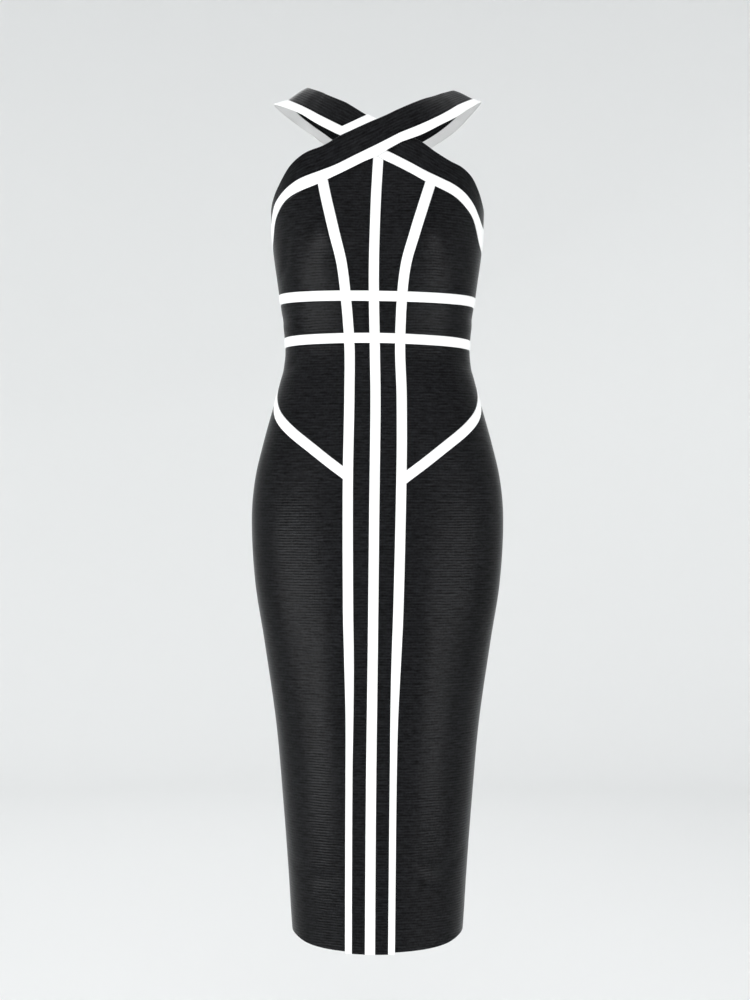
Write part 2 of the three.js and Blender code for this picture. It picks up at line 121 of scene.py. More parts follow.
ROOM_COLOUR = (0.95, 0.962, 0.99, 1)
ROOM_STRENGTH = 0.54
studio_world = bpy.data.worlds.new("studio_world")
studio_world.use_nodes = True
room_light = studio_world.node_tree.nodes["Background"]
room_light.inputs["Color"].default_value = ROOM_COLOUR
room_light.inputs["Strength"].default_value = ROOM_STRENGTH
bpy.context.scene.world = studio_world
bpy.context.scene.view_settings.view_transform = "Standard"

# Front panels and upright strips
# The front is cut in upright knit panels with white strips between them: one down the centre and one
# along each princess line. Each is a single layer, sewn edge to edge, and drawn in a little at its seams.
STRIP_WIDTH = 0.0134
HALF_STRIP = STRIP_WIDTH / 2
SEAM_GAP = 0.00002
GORE_DROP = 0.0025
CLOTH_RADIUS = 0.125
MILLIMETRE = 0.001
NOT_LENGTHS = ("turn", "lean", "share", "front_square", "back_square")


def table(columns, rows):
    """A table's columns by name, with its lengths turned from millimetres into metres."""
    return {
        column: numbers * (1 if column in NOT_LENGTHS else MILLIMETRE)
        for column, numbers in zip(columns, np.array(rows, dtype=float).T)
    }


# The hollow form at each height: half its width, its depth to the front and back, and how square it is
FORM = table(("height", "half", "front", "back", "front_square", "back_square"), [
    (-1160, 111, 89, 80, 2.25, 2.2),
    (-1121, 114.8, 92, 80, 2.25, 2.2),
    (-1050, 119.3, 98, 79, 2.3, 2.2),
    (-957, 126.3, 103, 79, 2.35, 2.2),
    (-850, 136, 104, 82, 2.35, 2.2),
    (-740, 151.9, 105, 92, 2.35, 2.2),
    (-660, 164.5, 104, 103, 2.35, 2.2),
    (-577, 169.2, 102, 112, 2.35, 2.2),
    (-522, 164.8, 100, 110, 2.3, 2.2),
    (-468, 152.3, 97, 98, 2.3, 2.2),
    (-413, 137, 91, 82, 2.25, 2.2),
    (-359, 124.2, 85, 71, 2.2, 2.2),
    (-318, 125.8, 87, 70, 2.25, 2.3),
    (-264, 133, 95, 77, 2.4, 2.5),
    (-207, 140.5, 102, 86, 2.5, 2.7),
    (-150, 143.2, 99, 90, 2.5, 2.9),
    (-100, 143.5, 91, 88, 2.4, 2.9),
    (-60, 141, 79, 80, 2.3, 2.9),
    (-20, 132, 61, 66, 2.2, 2.9),
])

# Where the form's front stands out, alike on both sides: at the cups and down the skirt
CUPS = {"out": 0.066, "height": -0.196, "wide": 0.036, "tall": 0.046, "depth": 0.015}
SKIRT_FRONT = {"out": 0.064, "height": -0.78, "wide": 0.036, "tall": 0.19, "depth": 0.006}

# The upright strips: the centre one's x, and how far out from it each princess strip runs
CENTRE_LINE = table(("height", "x"), [
    (-1150, -10), (-920, -8.5), (-740, -6.2), (-550, -4.2), (-420, -2.7), (-350, -3.6),
    (-250, -4.9), (-160, -2.4), (-95, 1.2),
])
PRINCESS_LINE = table(("height", "out", "width"), [
    (-1150, 28.2, 8.9),
    (-1000, 28.6, 9),
    (-900, 29, 9.2),
    (-830, 29.4, 10.4),
    (-760, 31, 12.6),
    (-690, 33, 13.4),
    (-520, 35, 13.4),
    (-410, 34.2, 13.4),
    (-350, 33.2, 13.4),
    (-290, 36.2, 13.4),
    (-240, 42, 13.4),
    (-200, 52.8, 13.6),
    (-160, 63.4, 13.8),
    (-120, 73.6, 13.8),
])

# The two waist strips and the hem: a turn is 0 at the front, 90 at the right side and 180 at the back
UPPER_WAIST = table(("turn", "height"), [(-90, -278.5), (0, -280.8), (90, -283), (180, -281), (270, -278.5)])
LOWER_WAIST = table(("turn", "height"), [
    (-90, -337), (-55, -335.8), (0, -335.6), (50, -338), (90, -340.5), (180, -338), (270, -337),
])
HEM = table(("turn", "height"), [
    (-90, -1130), (-75, -1132.5), (-57, -1139.5), (-35, -1143.5), (0, -1145.5), (35, -1143.5),
    (57, -1139.5), (75, -1132.5), (90, -1130), (130, -1128), (180, -1127), (230, -1128), (270, -1130),
])

# The straps on the chest, which the panels meet: a border's lower edge, its seam to the band, and the
# band's neck edge. The under strap is given as if it too started at the left, and is mirrored.
OVER_CHEST = table(("turn", "edge", "seam", "neck"), [
    (-98, -204, -178, -155),
    (-90, -211, -183, -159),
    (-82, -204, -178, -155),
    (-77, -195, -165, -147.5),
    (-72, -175, -152, -137),
    (-66, -160.5, -142.5, -121.5),
    (-60, -150.9, -134.4, -104.5),
    (-52, -143, -125, -90.5),
    (-42, -135.4, -117.6, -82.4),
    (-32, -125.5, -109.8, -70),
    (-20, -113.8, -98.3, -59.8),
    (-10, -104.9, -89.8, -52.7),
    (0, -98, -81.9, -46.3),
    (10, -88.1, -74, -40.3),
    (20, -79.1, -66, -33.8),
])
UNDER_CHEST = table(("turn", "edge", "seam", "neck"), [
    (-98, -214.5, -184, -157.5),
    (-90, -219, -187, -161),
    (-82, -214.5, -184, -157.5),
    (-76, -210, -180, -149),
    (-71, -200, -171, -136),
    (-65, -177, -155.5, -118.5),
    (-59, -162.2, -142.8, -107.8),
    (-52, -149.3, -132.7, -100.8),
    (-44, -140.5, -124.9, -89.6),
    (-36, -132.7, -117, -76.5),
    (-26, -121.1, -106, -67),
    (-15, -110.3, -95.6, -58.5),
    (-4, -101.3, -86.5, -50),
    (7, -90.5, -77, -42.8),
    (18, -80.3, -66.5, -34.2),
    (28, -71.5, -58.6, -26.2),
    (37, -64, -51.2, -19.2),
])

# How far the bust pieces run on under the lifted over strap
TUCK = table(("turn", "depth"), [(-90, 0), (-60, 0), (-55, 0), (-49, 4), (-44, 4), (28, 4)])

# Soft folds of the worn cloth: shallow troughs, negative where the cloth stands proud
FOLD_BEND = 0.25
FOLDS = table(("turn", "height", "lean", "long", "wide", "deep"), [
    (48, -1035, 8, 34, 7, 1.5),
    (40, -1052, -14, 30, 6, -1.1),
    (-50, -1048, -10, 40, 9, 1.2),
    (-63, -230, 62, 26, 6, 1.3),
    (-56, -215, 55, 22, 6, -0.8),
    (60, -238, -60, 24, 6, 1.1),
    (-80, -306, 8, 30, 6, 1.2),
    (-74, -322, -4, 26, 5, -0.8),
    (81, -304, -9, 32, 6, 1.2),
    (76, -324, 5, 24, 5, -0.8),
    (-72, -372, 20, 34, 8, 1.2),
    (74, -370, -18, 36, 8, 1.2),
    (100, -298, 6, 30, 6, 1.1),
    (150, -312, 3, 46, 6, 1.3),
    (186, -301, -4, 44, 6, 1.2),
    (214, -318, 4, 40, 6, -0.9),
    (160, -372, -10, 46, 8, 1.3),
    (205, -384, 9, 50, 9, 1.3),
    (130, -1040, 9, 44, 9, 1.3),
    (225, -1062, -8, 40, 8, 1.2),
    (168, -690, 10, 52, 12, 1.2),
    (200, -705, -11, 48, 12, 1.1),
    (120, -215, 40, 28, 7, 1.1),
    (238, -222, -42, 26, 7, 1.0),
])

# The short reaches over which slopes are measured, in degrees and metres
FORM_TURN_REACH = 0.3
FORM_HEIGHT_REACH = 0.0005
LINE_TURN_REACH = 0.5
LINE_HEIGHT_REACH = 0.002


def reading(lines, key, column, at):
    """A smooth reading between the rows of a table, held at its ends."""
    keys = lines[key]
    values = lines[column]
    at = np.clip(np.asarray(at, dtype=float), keys[0], keys[-1])
    row = np.clip(np.searchsorted(keys, at, side="right") - 1, 0, len(keys) - 2)
    before = np.maximum(np.arange(len(keys)) - 1, 0)
    after = np.minimum(np.arange(len(keys)) + 1, len(keys) - 1)
    slope = (values[after] - values[before]) / (keys[after] - keys[before])
    span = keys[row + 1] - keys[row]
    way = (at - keys[row]) / span
    start = (1 + 2 * way) * (1 - way) ** 2 * values[row] + way * (1 - way) ** 2 * span * slope[row]
    end = way * way * (3 - 2 * way) * values[row + 1] - way * way * (1 - way) * span * slope[row + 1]
    return start + end


def swell(value, centre, spread):
    """A soft hump, 1 at its centre."""
    return np.exp(-(((value - centre) / spread) ** 2))


def form_point(turn, height):
    """Points of the hollow form: turn is 0 at the front and 180 at the back."""
    turn, height = np.broadcast_arrays(np.asarray(turn, dtype=float), np.asarray(height, dtype=float))
    side = np.sin(np.radians(turn))
    forward = np.cos(np.radians(turn))
    front = forward > 0
    half = reading(FORM, "height", "half", height)
    depth = np.where(
        front,
        reading(FORM, "height", "front", height),
        reading(FORM, "height", "back", height),
    )
    square = np.where(
        front,
        reading(FORM, "height", "front_square", height),
        reading(FORM, "height", "back_square", height),
    )
    radius = ((np.abs(forward) / depth) ** square + (np.abs(side) / half) ** square) ** (-1 / square)
    x = radius * side
    y = -radius * forward
    swelling = 0
    for place in (CUPS, SKIRT_FRONT):
        level_share = swell(np.abs(x), place["out"], place["wide"])
        swelling += place["depth"] * level_share * swell(height, place["height"], place["tall"])
    y = y - np.where(front, swelling * forward * (2 - forward), 0)
    return np.stack([x, y, height], axis=-1)


def unit(vectors):
    return vectors / np.linalg.norm(vectors, axis=-1, keepdims=True)


def form_normal(turn, height):
    """Square to the form, pointing outwards."""
    around = form_point(turn + FORM_TURN_REACH, height) - form_point(turn - FORM_TURN_REACH, height)
    upward = form_point(turn, height + FORM_HEIGHT_REACH) - form_point(turn, height - FORM_HEIGHT_REACH)
    return unit(np.cross(around, upward))


def fold_depth(turn, height):
    """How far the folds push the cloth in at a place."""
    total = np.zeros(np.broadcast(turn, height).shape)
    for fold_turn, fold_height, lean, long, wide, deep in zip(*FOLDS.values()):
        away = (np.asarray(turn) - fold_turn + 180) % 360 - 180
        run = np.radians(away) * CLOTH_RADIUS
        rise = height - fold_height
        slant = math.radians(lean)
        along = run * math.cos(slant) + rise * math.sin(slant)
        across = rise * math.cos(slant) - run * math.sin(slant)
        bend = FOLD_BEND * along * along / long
        total += deep * swell(along, 0, long) * swell(across, bend, wide)
    return total


def turn_at(x, height):
    """The turn at which the front of the form has a given x, found by halving."""
    halvings = 22
    low = np.full(np.shape(height), -90.0)
    high = np.full(np.shape(height), 90.0)
    for _ in range(halvings):
        middle = (low + high) / 2
        short = form_point(middle, height)[..., 0] < x
        low = np.where(short, middle, low)
        high = np.where(short, high, middle)
    return (low + high) / 2


def upright_edge(strip, hand, gap):
    """An edge of an upright strip, or of the panel a gap away from it: a turn at each height.

    The strip is -1, 0 or 1 from left to right. The hand is -1 for its left edge and 1 for its right.
    """
    def line(height):
        out = strip * reading(PRINCESS_LINE, "height", "out", height)
        return reading(CENTRE_LINE, "height", "x", height) + out

    def edge(height):
        height = np.asarray(height, dtype=float)
        width = STRIP_WIDTH if strip == 0 else reading(PRINCESS_LINE, "height", "width", height)
        lean = (line(height + LINE_HEIGHT_REACH) - line(height - LINE_HEIGHT_REACH)) / (2 * LINE_HEIGHT_REACH)
        return turn_at(line(height) + hand * (width / 2 + gap) * np.sqrt(1 + lean * lean), height)

    return edge


def level(lines, column="height"):
    """A line round the dress: a height at each turn."""
    return lambda turn: reading(lines, "turn", column, turn)


def beside_line(height_of, distance):
    """A level line moved up by a distance, measured square to it."""
    def moved(turn):
        ahead = np.asarray(turn, dtype=float) + LINE_TURN_REACH
        behind = np.asarray(turn, dtype=float) - LINE_TURN_REACH
        height = height_of(turn)
        run = np.linalg.norm(form_point(ahead, height) - form_point(behind, height), axis=-1)
        climb = height_of(ahead) - height_of(behind)
        return height + distance * np.sqrt(1 + (climb / run) ** 2)

    return moved


def gore_hem(turn):
    """The hem of the upright strips and the panels between them, which hang a little lower."""
    return reading(HEM, "turn", "height", turn) - GORE_DROP


def neckline(turn):
    """The upper edge of the bust and bodice: the straps' lower edges, mirrored at the back."""
    folded = np.where(np.asarray(turn) > 90, 180 - np.asarray(turn), turn)
    over = reading(OVER_CHEST, "turn", "edge", folded) + reading(TUCK, "turn", "depth", folded)
    return np.minimum(over, reading(UNDER_CHEST, "turn", "edge", -folded))


class Shade:
    """What varies over a material: arithmetic on it adds Math nodes."""

    def __init__(self, tree, socket):
        self.tree = tree
        self.socket = socket

    def node(self, kind, settings, inputs, output=0):
        """Any node: its settings first, then values or links for its sockets."""
        node = self.tree.nodes.new(kind)
        for key, value in settings.items():
            setattr(node, key, value)
        for key, value in inputs.items():
            if isinstance(value, Shade):
                self.tree.links.new(value.socket, node.inputs[key])
            else:
                node.inputs[key].default_value = value
        return Shade(self.tree, node.outputs[output])

    def math(self, operation, *others):
        return self.node("ShaderNodeMath", {"operation": operation}, dict(enumerate((self, *others))))

    def feed(self, shader, socket_name):
        self.tree.links.new(self.socket, shader.inputs[socket_name])

    def __add__(self, other):
        return self.math("ADD", other)

    __radd__ = __add__

    def __mul__(self, other):
        return self.math("MULTIPLY", other)

    __rmul__ = __mul__

    def __sub__(self, other):
        return self.math("SUBTRACT", other)

    def __rsub__(self, other):
        return self * -1 + other


def new_knit(name):
    """A material and its shader, a place on the cloth, and how near that place is to a seam."""
    material = bpy.data.materials.new(name)
    material.use_nodes = True
    blank = Shade(material.node_tree, None)
    cloth_place = blank.node("ShaderNodeUVMap", {"uv_map": "cloth"}, {})
    seam_share = blank.node("ShaderNodeAttribute", {"attribute_name": "seam"}, {}, output=2)
    return material, material.node_tree.nodes["Principled BSDF"], cloth_place, seam_share


def across_of(place):
    return place.node("ShaderNodeSeparateXYZ", {}, {0: place}, output=0)


def up_of(place):
    return place.node("ShaderNodeSeparateXYZ", {}, {0: place}, output=1)


def noise(place, scale, detail):
    return place.node("ShaderNodeTexNoise", {}, {"Vector": place, "Scale": scale, "Detail": detail})


def wave(phase):
    """A smooth wave from 0 to 1."""
    return phase.math("SINE") * 0.5 + 0.5


def bump(height, strength, distance):
    return height.node("ShaderNodeBump", {}, {"Strength": strength, "Distance": distance, "Height": height})


def mix_colour(share, dark, light):
    return share.node("ShaderNodeMix", {"data_type": "RGBA"}, {0: share, 6: dark, 7: light}, output=2)


# Black rib knit: fine broken ribs, a soft sheen, and small puckers along the seams. Its colour is painted
# lighter on the rib crests and darker between the ribs as painted shade. The rows and mottle that raise the
# bump also make raised spots lighter and low spots darker, which is partly painted shade and partly tone that
# differs at random.
RIB_PITCH = 0.0036
RIB_WAVER = 3.2
RIB_DEPTH = 0.00022
STITCH_PITCH = 0.0021
BLACK_POINT = 0.98
black_knit, black_shader, cloth_place, seam_share = new_knit("black_rib_knit")
drawn_out = cloth_place.node("ShaderNodeMapping", {}, {"Vector": cloth_place, "Scale": (0.23, 1.0, 1.0)})
waver = noise(cloth_place, scale=28.0, detail=2.0)
rows = noise(drawn_out, scale=330.0, detail=2.0)
mottle = noise(cloth_place, scale=330.0, detail=2.0)
broad = noise(cloth_place, scale=9.0, detail=3.0)
pucker = noise(cloth_place, scale=150.0, detail=1.0)
rib = wave(up_of(cloth_place) * (math.tau / RIB_PITCH) + waver * RIB_WAVER)
stitch = wave(across_of(cloth_place) * (math.tau / STITCH_PITCH))
black_height = rib * 0.8 + rows * 1.2 + stitch * 0.25 + mottle * 0.8 + pucker * seam_share * 2.6
# painted shade: the tone follows the rib, rows and mottle heights and is darker in their hollows; the broad
# patches are tone that differs at random
black_tone_and_rib_shade = rib * 0.26 + rows * 1.3 + mottle * 0.9 + broad * 0.3 - BLACK_POINT
black_colour = mix_colour(black_tone_and_rib_shade, dark=(0.0006, 0.0007, 0.0007, 1), light=(0.0168, 0.0175, 0.0194, 1))
black_colour.feed(black_shader, "Base Color")
bump(black_height, strength=0.8, distance=RIB_DEPTH).feed(black_shader, "Normal")
black_shader.inputs["Roughness"].default_value = 0.3
black_shader.inputs["IOR"].default_value = 1.15

# White knit: smooth and matte, with faint fine ribs. Its colour is painted a little darker between the ribs
# and in the low spots of the grain as painted shade, and is partly tone that differs at random.
WHITE_RIB_PITCH = 0.0022
WHITE_RIB_DEPTH = 0.00015
white_knit, white_shader, cloth_place, seam_share = new_knit("white_strip_knit")
white_rib = wave(up_of(cloth_place) * (math.tau / WHITE_RIB_PITCH))
white_grain = noise(cloth_place, scale=500.0, detail=2.0)
pucker = noise(cloth_place, scale=190.0, detail=1.0)
white_height = white_rib * 0.5 + white_grain * 0.5 + pucker * seam_share * 1.6
# painted shade: the tone follows the rib and grain heights and is darker in their hollows, on top of grain
# tone that differs at random
white_tone_and_rib_shade = white_grain * 0.5 + white_rib * 0.2
white_colour = mix_colour(white_tone_and_rib_shade, dark=(0.86, 0.865, 0.865, 1), light=(0.94, 0.94, 0.935, 1))
white_colour.feed(white_shader, "Base Color")
bump(white_height, strength=0.6, distance=WHITE_RIB_DEPTH).feed(white_shader, "Normal")
white_shader.inputs["Roughness"].default_value = 0.85
white_shader.inputs["Specular IOR Level"].default_value = 0.25
white_shader.inputs["Sheen Weight"].default_value = 0.1

# Each knit's wall, how far in from an edge its outer face starts to round, and the share of the wall
# that the rounding takes off. White strips are knitted double.
KNITS = {
    "black_knit": {"material": black_knit, "wall": 0.0016, "rounding": 0.0018, "drop": 0.5},
    "white_knit": {"material": white_knit, "wall": 0.0022, "rounding": 0.0022, "drop": 0.36},
}

# A piece is cut narrower than it is worn, because the knit stretches. Here each piece's mesh is set out: its
# cells are a KNIT_CELL apart and closer near its edges, and its puckers reach in from a seam.
PUCKER_REACH = 0.004
KNIT_CELL = 0.006
EDGE_STEPS = (0.0005, 0.0012, 0.0022, 0.004)
EDGE_SHARE = 0.4


def shares_along(length):
    """Shares of a length, close together near both edges and a cell apart between them."""
    edge = np.array([0, *[step for step in EDGE_STEPS if step < length * EDGE_SHARE]])
    inner = length - 2 * edge[-1]
    cells = max(1, round(inner / KNIT_CELL))
    middle = edge[-1] + inner * np.arange(1, cells) / cells
    return np.concatenate([edge, middle, length - edge[::-1]]) / length


def knit_mesh(name, outer, uv, edge_distance):
    """The outer face of a piece, which knows its place on the cloth and how near a seam it is."""
    row_count, column_count = outer.shape[:2]
    cloth = bmesh.new()
    bmesh.ops.create_grid(cloth, x_segments=column_count - 1, y_segments=row_count - 1, size=0.5)
    seam = cloth.verts.layers.float.new("seam")
    uv_layer = cloth.loops.layers.uv.new("cloth")
    places = {}
    for vertex in cloth.verts:
        column = round((vertex.co.x + 0.5) * (column_count - 1))
        row = round((vertex.co.y + 0.5) * (row_count - 1))
        places[vertex.index] = (row, column)
        vertex.co = outer[row, column]
        vertex[seam] = math.exp(-edge_distance[row, column] / PUCKER_REACH)
    for face in cloth.faces:
        for corner in face.loops:
            corner[uv_layer].uv = uv[places[corner.vert.index]]
    mesh = bpy.data.meshes.new(name)
    cloth.to_mesh(mesh)
    cloth.free()
    mesh.shade_smooth()
    return mesh


def sew_piece(node, slot_name, base, normal, uv):
    """Make one cloth piece from its rows of inner points: the outer face rounds in at each edge."""
    knit = KNITS[slot_name]
    along = np.linalg.norm(np.diff(base, axis=1), axis=-1)
    upward = np.linalg.norm(np.diff(base, axis=0), axis=-1)
    from_left = np.pad(np.cumsum(along, axis=1), ((0, 0), (1, 0)))
    from_foot = np.pad(np.cumsum(upward, axis=0), ((1, 0), (0, 0)))
    edge_distance = np.minimum.reduce([
        from_left, from_left[:, -1:] - from_left, from_foot, from_foot[-1:] - from_foot,
    ])
    near = np.clip(edge_distance / knit["rounding"], 0, 1)
    drop = knit["drop"] * knit["wall"]
    outer = base + normal * (knit["wall"] - drop * (1 - np.sqrt(1 - (1 - near) ** 2)))[..., None]
    mesh = knit_mesh(f"knit_{node}", outer, uv, edge_distance)
    mesh.materials.append(knit["material"])
    piece = bpy.data.objects.new(f"knit_{node}", mesh)
    bpy.context.scene.collection.objects.link(piece)
    cloth_wall = piece.modifiers.new("cloth_wall", "SOLIDIFY")
    cloth_wall.thickness = knit["wall"] - drop
    cloth_wall.offset = -1
    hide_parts(node)
    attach(piece, "root")
    quads = np.linalg.norm(np.cross(base[1:, 1:] - base[:-1, :-1], base[:-1, 1:] - base[1:, :-1]), axis=-1)


def corner_of(upright, level_line, start):
    """Where an upright edge meets a level one, found by stepping from a height near both."""
    most_steps = 50
    near_enough = 0.000001
    height = start
    for _ in range(most_steps):
        step = (float(level_line(upright(height))) - height) / 2
        height += step
        if abs(step) < near_enough:
            break
    return float(upright(height)), height


def add_cloth(node, slot_name, left, right, foot, head, middle, lift=0.0):
    """Cut a piece between four seam lines on the form: middle is a height between foot and head."""
    foot_left, low_left = corner_of(left, foot, middle)
    foot_right, low_right = corner_of(right, foot, middle)
    head_left, top_left = corner_of(left, head, middle)
    head_right, top_right = corner_of(right, head, middle)
    spread = math.radians(max(foot_right - foot_left, head_right - head_left)) * CLOTH_RADIUS
    across = shares_along(max(KNIT_CELL, spread))[None, :]
    up = shares_along(max(KNIT_CELL, top_left - low_left, top_right - low_right))[:, None]
    rise_left = low_left + (top_left - low_left) * up
    rise_right = low_right + (top_right - low_right) * up
    foot_turn = foot_left + (foot_right - foot_left) * across
    head_turn = head_left + (head_right - head_left) * across

    def blended(left_side, right_side, foot_end, head_end, foot_corners, head_corners):
        """A patch whose four sides follow the four seam lines."""
        sides = left_side * (1 - across) + right_side * across
        ends = foot_end * (1 - up) + head_end * up
        foot_straight = foot_corners[0] * (1 - across) + foot_corners[1] * across
        head_straight = head_corners[0] * (1 - across) + head_corners[1] * across
        return sides + ends - (foot_straight * (1 - up) + head_straight * up)

    turn = blended(
        left(rise_left), right(rise_right), foot_turn, head_turn,
        (foot_left, foot_right), (head_left, head_right),
    )
    height = blended(
        rise_left, rise_right, foot(foot_turn), head(head_turn),
        (low_left, low_right), (top_left, top_right),
    )
    normal = form_normal(turn, height)
    base = form_point(turn, height) + normal * (lift - fold_depth(turn, height))[..., None]
    uv = np.stack([np.radians(turn) * CLOTH_RADIUS, height], axis=-1)
    sew_piece(node, slot_name, base, normal, uv)


def side_by_side(side, inner, outer):
    """The left and right edges of a piece on one side of the centre."""
    return {"left": outer, "right": inner} if side < 0 else {"left": inner, "right": outer}


upper_waist = level(UPPER_WAIST)
lower_waist = level(LOWER_WAIST)
above_upper_waist = beside_line(upper_waist, HALF_STRIP + SEAM_GAP)
below_upper_waist = beside_line(upper_waist, -HALF_STRIP - SEAM_GAP)
above_lower_waist = beside_line(lower_waist, HALF_STRIP + SEAM_GAP)
below_lower_waist = beside_line(lower_waist, -HALF_STRIP - SEAM_GAP)
below_neckline = beside_line(neckline, -SEAM_GAP)
SIDES = (("left", -1), ("right", 1))
SPANS = {
    "bust": {"foot": above_upper_waist, "head": below_neckline, "middle": -0.25},
    "waist": {"foot": above_lower_waist, "head": below_upper_waist, "middle": -0.31},
    "skirt": {"foot": gore_hem, "head": below_lower_waist, "middle": -0.7},
}
for word, span in SPANS.items():
    add_cloth(f"centre_strip_{word}", "white_knit", upright_edge(0, -1, 0), upright_edge(0, 1, 0), **span)
    for hand, side in SIDES:
        edges = side_by_side(side, upright_edge(side, -side, 0), upright_edge(side, side, 0))
        add_cloth(f"princess_strip_{word}_{hand}", "white_knit", **edges, **span)
        edges = side_by_side(side, upright_edge(0, side, SEAM_GAP), upright_edge(side, -side, SEAM_GAP))
        add_cloth(f"front_{word}_centre_{hand}", "black_knit", **edges, **span)

# Side fronts, hip yokes and slanting hip strips
# Outside the princess lines each side front is cut in four: bust, waist, hip yoke and skirt. A white
# strip slants from the princess line up to the side seam between the yoke and the skirt.
HIP_LINE = table(("turn", "height"), [
    (15, -528), (33, -501.5), (48, -476.5), (61, -455), (74, -432.5), (90, -400),
])
SIDE_RADIUS = 0.14
SIDE_GAP = math.degrees(SEAM_GAP / 2 / SIDE_RADIUS)


def hip_line(turn):
    """The middle of the hip strips, alike on both sides."""
    return reading(HIP_LINE, "turn", "height", np.abs(turn))


def at_turn(turn):
    """An upright seam that keeps to one turn."""
    return lambda height: np.full(np.shape(height), float(turn))


hem = level(HEM)
hip_yoke = {
    "foot": beside_line(hip_line, HALF_STRIP + SEAM_GAP),
    "head": below_lower_waist,
    "middle": -0.4,
}
side_skirt = {
    "foot": hem,
    "head": beside_line(hip_line, -HALF_STRIP - SEAM_GAP),
    "middle": -0.8,
}
hip_strip = {
    "foot": beside_line(hip_line, -HALF_STRIP),
    "head": beside_line(hip_line, HALF_STRIP),
    "middle": -0.45,
}
for hand, side in SIDES:
    edges = side_by_side(side, upright_edge(side, side, SEAM_GAP), at_turn(side * (90 - SIDE_GAP)))
    add_cloth(f"front_bust_side_{hand}", "black_knit", **edges, **SPANS["bust"])
    add_cloth(f"front_waist_side_{hand}", "black_knit", **edges, **SPANS["waist"])
    add_cloth(f"front_hip_yoke_{hand}", "black_knit", **edges, **hip_yoke)
    add_cloth(f"front_skirt_side_{hand}", "black_knit", **edges, **side_skirt)
    add_cloth(f"hip_strip_{hand}", "white_knit", **edges, **hip_strip)

# Waist strips
# Two level white strips mark the waist. Each runs in one length across the front and is carried on
# round the back in halves, which meet at the centre back seam.
left_side_seam = at_turn(SIDE_GAP - 90)
right_side_seam = at_turn(90 - SIDE_GAP)
BACK_HALVES = (
    ("right", at_turn(90 + SIDE_GAP), at_turn(180 - SIDE_GAP)),
    ("left", at_turn(180 + SIDE_GAP), at_turn(270 - SIDE_GAP)),
)
for word, line, middle in (("upper", upper_waist, -0.28), ("lower", lower_waist, -0.337)):
    band = {"foot": beside_line(line, -HALF_STRIP), "head": beside_line(line, HALF_STRIP), "middle": middle}
    add_cloth(f"{word}_waist_strip_front", "white_knit", left_side_seam, right_side_seam, **band)
    for hand, left, right in BACK_HALVES:
        add_cloth(f"{word}_waist_strip_back_{hand}", "white_knit", left, right, **band)

# Back panels
# The back is plain: bodice, waist and skirt in the same rib knit, each in two halves with a seam
# down the centre back.
back_skirt = {"foot": hem, "head": below_lower_waist, "middle": -0.8}
for hand, left, right in BACK_HALVES:
    add_cloth(f"back_bodice_{hand}", "black_knit", left, right, **SPANS["bust"])
    add_cloth(f"back_waist_{hand}", "black_knit", left, right, **SPANS["waist"])
    add_cloth(f"back_skirt_{hand}", "black_knit", left, right, **back_skirt)

# Straps
# Each strap is a black knit band with a white border along its lower edge. It starts at a side seam,
# crosses the chest to the other shoulder and comes down the back the same way, with a shoulder seam.
BAND_WIDTH = 0.03
STRAP_STEP = 1.25
SHOULDER_STEPS = 9
SHOULDER_BACK_DEPTH = 1.04

# The over strap is raised where it crosses the under one, and comes down again along its shoulder
STRAP_LIFT = 0.0029
LIFT_FADE = 0.5
OVER_RAISED = table(("turn", "share"), [(-90, 0), (-72, 0), (-68, 0), (-56, 1), (-50, 1), (28, 1)])
UNDER_RAISED = table(("turn", "share"), [(-90, 0), (90, 0)])

# Over the shoulder a band is crowned: the scale makes up * up * (1 - up) reach 1 across its width
BAND_CROWN = 0.0009
CROWN_SCALE = 27 / 4
CROWN_STEPS = 6

# Where each line of a strap runs on from the chest to the shoulder seam, in millimetres
OVER_SHOULDER = {
    "edge": [(58, -79, -67.5), (85, -71, -52.3), (106, -59, -39.5), (121, -45, -27.5), (141, 0, -10.5)],
    "seam": [(54, -76, -54.5), (76, -69, -43), (94, -59, -31.7), (109, -43, -20.6), (130, 0, -6.5)],
    "neck": [(46, -63, -23), (62, -55, -15), (76, -45, -9), (88, -34, -3.2), (103, 0, 5.5)],
}
UNDER_SHOULDER = {
    "edge": [(81.5, -66, -49.5), (100.5, -58, -37), (120, -41, -26), (141, 0, -13.5)],
    "seam": [(76, -64, -38.7), (88.5, -56, -31), (105, -41, -20.5), (122, 0, -8)],
    "neck": [(67, -47, -8), (70.5, -43, -5.5), (81.5, -33, 0.5), (95, 0, 9.5)],
}
STRAPS = {
    "over": {"chest": OVER_CHEST, "raised": OVER_RAISED, "shoulder": OVER_SHOULDER, "mirrored": False},
    "under": {"chest": UNDER_CHEST, "raised": UNDER_RAISED, "shoulder": UNDER_SHOULDER, "mirrored": True},
}


def smooth_rail(points, steps):
    """A smooth line through points, cut into steps between each two of them but the first and last."""
    run = np.concatenate([[0], np.cumsum(np.sqrt(np.linalg.norm(np.diff(points, axis=0), axis=1)))])
    lines = {"run": run, "x": points[:, 0], "y": points[:, 1], "z": points[:, 2]}
    stations = np.concatenate([
        run[k] + (run[k + 1] - run[k]) * np.arange(1, steps + 1) / steps for k in range(1, len(run) - 2)
    ])
    return np.stack([reading(lines, "run", axis, stations) for axis in "xyz"], axis=-1)


def chest_stretch(strap, back, turns, up, lower, upper, rooms):
    """The stretch of a strap piece that lies on the chest: its points and their normals."""
    low = beside_line(level(strap["chest"], lower), rooms[0])(turns)
    high = beside_line(level(strap["chest"], upper), -rooms[1])(turns)
    height = low * (1 - up) + high * up
    turn = np.broadcast_to(turns * (-1 if strap["mirrored"] else 1), height.shape)
    turn = 180 - turn if back else turn
    normal = form_normal(turn, height)
    return form_point(turn, height) - normal * fold_depth(turn, height)[..., None], normal


